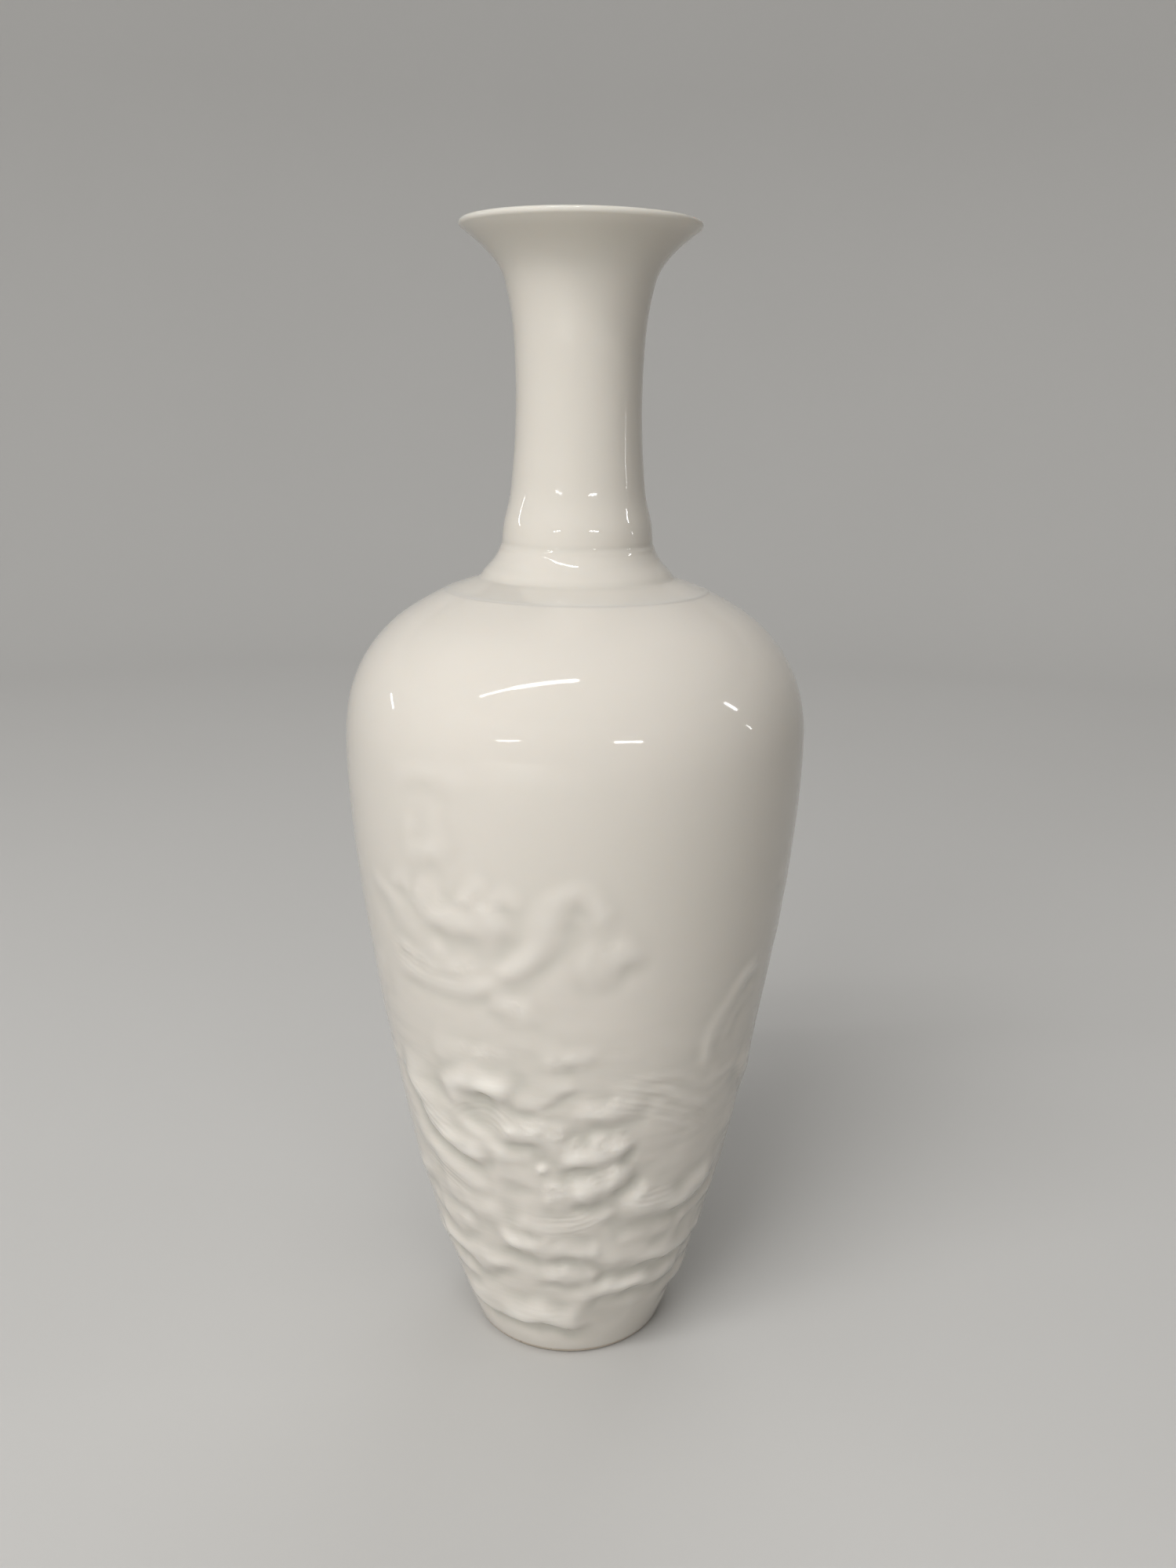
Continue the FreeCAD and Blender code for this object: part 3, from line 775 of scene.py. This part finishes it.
# %% Guides for the comb
combs = [
    (3.8, 1.0, [(-38, 65), (-33, 68.8), (-27, 70.4), (-21, 69.2), (-16, 65.5)]),
    (6.0, 0.8, [(8, 78.5), (18, 76.8), (30, 73.2), (42, 68.5), (54, 62)]),
    (3.6, 0.9, [(-28, 44), (-12, 42.8), (2, 43.2), (13, 47)]),
    (3.4, 0.9, [(-56, 71), (-46, 66), (-35, 62.4)]),
    (2.6, 0.6, [(-4, 55.5), (6, 56.5), (15, 60)]),
    (3.4, 0.8, [(16, 50), (28, 48.4), (42, 48)]),
    (3.0, 0.8, [(-58, 53), (-46, 50.5), (-34, 47.5)]),
    (4.2, 0.35, [(-56, 106), (-45, 103.5), (-35, 102.5), (-24, 103.4)]),
    (3.0, 0.4, [(-30, 16), (-14, 15.6), (2, 16.2)]),
]
combed = np.zeros(raised.shape)
comb_distance = np.zeros(raised.shape)


def add_comb(points, width, depth):
    """Marks a band along a course as combed, and keeps the signed distance from the course."""
    line = smooth(points, 80)
    rows, columns = patch(line[:, 0], line[:, 1], width)
    radii = sheet_radii[rows][:, None, None]
    across = np.radians(columns[None, :, None] / steps_per_degree - line[:, 0]) * radii
    up = sheet_heights[rows][:, None, None] - line[:, 1]
    nearest = np.argmin(across ** 2 + up ** 2, axis=2)
    gap = np.take_along_axis(np.hypot(across, up), nearest[:, :, None], axis=2)[:, :, 0]
    above = np.take_along_axis(up, nearest[:, :, None], axis=2)[:, :, 0] > 0
    share = nearest / (len(line) - 1)
    strength = depth * eased(2.2 * (1 - gap / width)) * eased(np.minimum(share, 1 - share) / 0.3)
    place = np.ix_(rows, columns % raised.shape[1])
    stronger = strength > combed[place]
    comb_distance[place] = np.where(stronger, np.where(above, gap, -gap), comb_distance[place])
    combed[place] = np.where(stronger, strength, combed[place])


for turned, lifted, strength in thirds:
    for width, depth, points in combs:
        add_comb([(angle + turned, height + lifted) for angle, height in points], width, depth)
paint(body_skin, "combed", np.where(outer, on_sheet(combed, places), 0))
paint(body_skin, "comb_distance", np.where(outer, on_sheet(comb_distance, places), 0))
print(f"{100 * (combed > 0.1).mean():.0f}% of the wall is combed")

# %% Where the glaze gathers on the neck, and where shade is painted on it
neck_places = places_of(neck_skin)
pooling_and_painted_shade = np.zeros(len(neck_places))
neck_reaches = np.hypot(neck_places[:, 0], neck_places[:, 1])
# Painted shade, partly pooled glaze: the colour darkens at the collar's foot and in the crease under the
# neck.
for corner, softness, depth in ((collar_foot, 1.1 * mm, 0.30), (crease, 0.8 * mm, 0.35)):
    distance = np.hypot(neck_reaches - corner[0], neck_places[:, 2] - corner[1])
    pooling_and_painted_shade += depth * np.exp(-(distance / softness) ** 2)
neck_heights = neck_places[:, 2] / mm
on_ring = (neck_heights * mm < collar_base) & (neck_reaches > collar_radius)
pooling_and_painted_shade += 0.05 * (on_ring & (neck_reaches < ring_radius - 0.3 * mm))
wall_line = np.interp(neck_places[:, 2], neck_line[:, 1], neck_line[:, 0])
outer_side = (neck_reaches > wall_line - 0.5 * mm) | (neck_heights * mm < neck_base)
neck_shade_starts = 180
mouth_shade_starts = 232
# Painted shade: the colour darkens up the neck and most of all under the mouth's flare.
up_the_neck = 0.20 * eased((neck_heights - neck_shade_starts) / 20)
under_mouth = 0.50 * eased((neck_heights - mouth_shade_starts) / 14)
pooling_and_painted_shade += np.where(outer_side, up_the_neck + under_mouth, 0)
lip_distance = np.hypot(neck_reaches - lip_centre[0], neck_places[:, 2] - lip_centre[1])
paint(neck_skin, "pooled_and_shaded", np.clip(pooling_and_painted_shade, 0, 1))
# Painted light, partly thin glaze: the lip is painted paler.
paint(neck_skin, "thinned_and_lit_lip", 1.8 * np.exp(-(lip_distance / (2.1 * mm)) ** 2))
for unused in ("combed", "comb_distance", "brushed", "foamy"):
    paint(neck_skin, unused, np.zeros(len(neck_places)))
print("glaze gathers at", int((pooling_and_painted_shade > 0.2).sum()), "vertices of the neck")

# %% [markdown]
# ## Finishes
# A finish is a small graph of nodes. Numbers that change over the surface are written here as sums,
# so that the arithmetic can be read. All other nodes are made by one method, which sets what kind of
# node it is first and then fills its sockets.

# %% Sums that become nodes
class Amount:
    """A number that changes over a surface; a sum on it adds a Math node."""

    def __init__(self, finish, socket):
        self.finish = finish
        self.socket = socket

    def math(self, operation, first, second):
        return self.finish.node("Math", {"operation": operation}, {0: first, 1: second}, "Value")

    def __add__(self, other):
        return self.math("ADD", self, other)

    def __mul__(self, other):
        return self.math("MULTIPLY", self, other)

    def wave(self):
        return self.math("SINE", self, 0)


class Finish:
    """A material whose nodes are all made by one method."""

    def __init__(self, name):
        self.material = bpy.data.materials.new(name)
        self.material.use_nodes = True
        self.tree = self.material.node_tree
        self.tree.nodes.clear()

    def node(self, kind, settings, sockets, output):
        made = self.tree.nodes.new("ShaderNode" + kind)
        for setting, value in settings.items():
            setattr(made, setting, value)
        for key, value in sockets.items():
            if isinstance(value, Amount):
                self.tree.links.new(value.socket, made.inputs[key])
            else:
                made.inputs[key].default_value = value
        return Amount(self, made.outputs[output]) if output is not None else made

    def attribute(self, name):
        return self.node("Attribute", {"attribute_name": name}, {}, "Fac")

    def noise(self, places, scale, detail=2.0):
        return self.node("TexNoise", {}, {"Vector": places, "Scale": scale, "Detail": detail}, "Fac")

    def share(self, value, low, high):
        sockets = {"Value": value, "From Min": low, "From Max": high}
        return self.node("MapRange", {"interpolation_type": "SMOOTHSTEP"}, sockets, "Result")

    def blend(self, share, color, other):
        return self.node("Mix", {"data_type": "RGBA"}, {0: share, 6: color, 7: other}, 2)

    def bump(self, height):
        return self.node("Bump", {}, {"Strength": 1.0, "Distance": 1.0, "Height": height}, "Normal")

    def surface(self, sockets):
        shader = self.node("BsdfPrincipled", {}, sockets, "BSDF")
        self.node("OutputMaterial", {}, {"Surface": shader}, None)
        return self.material


# %% [markdown]
# ## The glaze
# The glaze is a thick, clear, faintly warm white over a white body. It gathers in the hollows, where
# it turns a little greyer and greener, and thins on the crests. The grey in the hollows and corners,
# up the neck and under the mouth is partly painted shade, and the paler lip is painted light. Its
# surface is a mirror with a very slow waviness, left by the dipping, which makes the edges of the
# reflections wander. The clay under it lets light in a little, which softens the shadows between the waves.

# %% The porcelain glaze
def make_glaze():
    finish = Finish("porcelain_glaze")
    places = finish.node("TexCoord", {}, {}, "Object")
    pooled_and_shaded = finish.attribute("pooled_and_shaded")
    cloudiness = finish.share(finish.noise(places, 26), 0.35, 0.7)
    white = finish.blend(cloudiness, (0.742, 0.696, 0.628, 1), (0.722, 0.680, 0.612, 1))
    # On the crests this paler colour is thin glaze; on the lip it is painted light.
    thin = finish.blend(finish.attribute("thinned_and_lit_lip") * 0.55, white, (0.900, 0.862, 0.797, 1))
    # Painted shade, partly pooled glaze: the darker grey-green in the hollows and corners, up the neck and
    # under the mouth.
    color = finish.blend(pooled_and_shaded * 0.8, thin, (0.575, 0.553, 0.488, 1))
    unsteady = finish.noise(places, 110) * 5
    lines = (finish.attribute("comb_distance") * (turn / 1.5) + unsteady).wave()
    patchy = finish.share(finish.noise(places, 75), 0.30, 0.58)
    comb = finish.attribute("combed") * patchy * lines * (0.032 * mm)
    stretched = finish.node("Mapping", {}, {"Vector": places, "Scale": (1, 1, 4)}, "Vector")
    brush = finish.attribute("brushed") * finish.noise(stretched, 210, 3.0) * (0.062 * mm)
    drops = finish.share(finish.noise(places, 430, 1.5), 0.36, 0.70)
    froth = finish.attribute("foamy") * drops * (0.11 * mm)
    dipping = finish.noise(places, 40, 1.0) * (0.022 * mm)
    grain = finish.noise(places, 620, 2.0) * (0.0006 * mm)
    return finish.surface({
        "Base Color": color,
        "Roughness": finish.noise(places, 90) * 0.03 + 0.04,
        "IOR": 1.5,
        "Subsurface Weight": 0.2,
        "Subsurface Radius": (1.0, 0.8, 0.6),
        "Subsurface Scale": 2.2 * mm,
        "Normal": finish.bump(comb + brush + froth + dipping + grain),
    })


glaze = make_glaze()
print("glaze:", len(glaze.node_tree.nodes), "nodes")

# %% [markdown]
# ## The biscuit
# Bare porcelain is matt and very slightly rough, like fine sugar. Where it meets the glaze it toasts
# to a warm buff in the firing, and a few grains of the kiln's sand stick to it.

# %% The bare foot
def make_biscuit():
    finish = Finish("foot_biscuit")
    places = finish.node("TexCoord", {}, {}, "Object")
    height = finish.node("SeparateXYZ", {}, {0: places}, "Z")
    toast = finish.share(height + finish.noise(places, 210) * (0.9 * mm), 0.9 * mm, 2.2 * mm)
    clay = finish.blend(finish.noise(places, 320, 4.0), (0.66, 0.60, 0.52, 1), (0.54, 0.48, 0.40, 1))
    toasted = finish.blend(toast * 0.7, clay, (0.42, 0.30, 0.19, 1))
    sand = finish.share(finish.noise(places, 1500, 0.0), 0.74, 0.8)
    grit = finish.noise(places, 2400, 3.0) * (0.05 * mm)
    return finish.surface({
        "Base Color": finish.blend(sand, toasted, (0.22, 0.17, 0.12, 1)),
        "Roughness": finish.noise(places, 500) * 0.15 + 0.78,
        "Normal": finish.bump(grit),
    })


biscuit = make_biscuit()
print("biscuit:", len(biscuit.node_tree.nodes), "nodes")

# %% Dress the pieces and tie them to the frame
turned_sections = ["base_disc", "lower_body", "body_seam", "upper_body"]
relief_rolls = ["swell_low", "swell_middle", "swell_high", "wave_backs", "wave_crests", "wave_crescents",
                "spray_lines", "foam_pearls", "cloud_scrolls", "cloud_banks", "cloud_bands", "cloud_wisps"]
neck_sections = ["shoulder_ring", "collar", "neck_seam", "neck", "mouth_seam", "mouth"]
dressed = [
    (body_skin, glaze, "porcelain_glaze", turned_sections + relief_rolls),
    (neck_skin, glaze, "porcelain_glaze", neck_sections),
    (foot_biscuit, biscuit, "foot_biscuit", ["foot_ring"]),
]
for piece, finish, slot, nodes in dressed:
    piece.data.materials.clear()
    piece.data.materials.append(finish)
    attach(piece, "root")
    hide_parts(*nodes)
    print(f"{piece.name} stands for {len(nodes)} sections")

# %% [markdown]
# ## The studio
# The vase stands on a pale sweep that rises all round it, so that it looks the same from every side.
# Four soft lamps light it, the strongest at the upper left in front. They are hidden from reflections:
# what the glaze mirrors are long thin tubes, hung where the photograph shows their streaks.

# %% The sweep
def make_sweep():
    floor_reach = 1.5
    wall_rise = 1.0
    wall_lean = 0.15
    bpy.ops.object.select_all(action="DESELECT")
    bpy.ops.mesh.primitive_plane_add(size=mm, location=(0, 0, 0))
    sweep = bpy.context.object
    sweep.name = sweep.data.name = "studio_sweep"
    bpy.ops.object.mode_set(mode="EDIT")
    bpy.ops.mesh.select_all(action="SELECT")
    bpy.ops.mesh.merge(type="CENTER")
    bpy.ops.mesh.extrude_region_move(TRANSFORM_OT_translate={"value": (floor_reach, 0, 0)})
    bpy.ops.mesh.extrude_region_move(TRANSFORM_OT_translate={"value": (wall_lean, 0, wall_rise)})
    bpy.ops.object.mode_set(mode="OBJECT")
    round_corners(sweep, [(floor_reach, 0)], 0.6, segments=24)
    turn_on_lathe(sweep, 96)
    return sweep


def make_paper():
    """Paper that looks a little paler than the light that it throws back on the vase."""
    finish = Finish("studio_paper")
    places = finish.node("TexCoord", {}, {}, "Object")
    cloudiness = finish.noise(places, 3)
    shaded = finish.blend(cloudiness, (0.34, 0.332, 0.317, 1), (0.36, 0.352, 0.337, 1))
    pale = finish.blend(cloudiness, (0.61, 0.600, 0.580, 1), (0.64, 0.630, 0.610, 1))
    seen = finish.node("LightPath", {}, {}, "Is Camera Ray")
    for ray in ("Is Glossy Ray", "Is Transmission Ray"):
        seen = seen + finish.node("LightPath", {}, {}, ray)
    return finish.surface({"Base Color": finish.blend(seen, shaded, pale), "Roughness": 0.9})


sweep = make_sweep()
sweep.data.materials.append(make_paper())

# %% Lamps
heart_share = 0.55
heart = Vector((0, 0, heart_share * vase_height))


def hang_lamp(name, place, across, long_side, short_side, watts, mirrored=True):
    """An area lamp that faces the vase, its long side along the given direction."""
    lamp = bpy.data.lights.new(name, "AREA")
    lamp.shape = "RECTANGLE"
    lamp.size = long_side
    lamp.size_y = short_side
    lamp.energy = watts
    hung = bpy.data.objects.new(name, lamp)
    away = (Vector(place) - heart).normalized()
    side = (Vector(across) - away * away.dot(Vector(across))).normalized()
    facing = Matrix((side, away.cross(side), away)).transposed()
    hung.matrix_world = Matrix.Translation(place) @ facing.to_4x4()
    hung.visible_glossy = mirrored
    bpy.context.scene.collection.objects.link(hung)
    return hung


def towards(azimuth, elevation, distance):
    """A place seen from the vase: azimuth 0 is the camera's side and grows to the right."""
    turned, lifted = math.radians(azimuth), math.radians(elevation)
    flat = distance * math.cos(lifted)
    return heart + Vector((flat * math.sin(turned), -flat * math.cos(turned), distance * math.sin(lifted)))


def hang_tube(name, start, end, distance, width, glow):
    """A thin tube between two directions, as bright everywhere as its glow says."""
    first, last = towards(*start, distance), towards(*end, distance)
    long_side = (last - first).length
    watts = glow * math.pi * long_side * width
    return hang_lamp(name, (first + last) / 2, last - first, long_side, width, watts)


hang_lamp("soft_key", towards(-34, 46, 2.0), (1, -0.5, 0.3), 1.2, 0.6, 11.3, mirrored=False)
hang_lamp("soft_top", towards(-20, 80, 2.2), (1, 0, 0), 1.3, 1.3, 6.8, mirrored=False)
hang_lamp("soft_low", towards(-26, 13, 1.25), (1, 0, 0), 0.6, 0.6, 6.2, mirrored=False)
hang_lamp("soft_back", towards(165, 45, 2.2), (1, 0, 0), 1.3, 1.3, 8.4, mirrored=False)
hang_tube("overhead_left", (-56.5, 39), (-42, 50.5), 1.2, 0.022, 22)
hang_tube("overhead_right", (-42, 50.5), (2.5, 62.5), 1.2, 0.050, 20)
hang_tube("window_left", (-37.2, 11.8), (-26, 13.6), 1.3, 0.021, 15)
hang_tube("window_right", (18.2, 14.2), (31.7, 13.2), 1.3, 0.026, 26)
hang_tube("side_left", (-107.8, 15.6), (-100.5, 10.5), 1.2, 0.015, 24)
hang_tube("side_right", (83.8, 24.7), (88.3, 17.5), 1.2, 0.030, 24)
hang_tube("low_right", (90, 8.2), (93.3, 4.8), 1.2, 0.010, 16)

world = bpy.data.worlds.new("studio_air")
world.use_nodes = True
world.node_tree.nodes["Background"].inputs["Color"].default_value = (1.0, 0.985, 0.96, 1)
world.node_tree.nodes["Background"].inputs["Strength"].default_value = 0.148
bpy.context.scene.world = world
bpy.context.scene.view_settings.view_transform = "Standard"
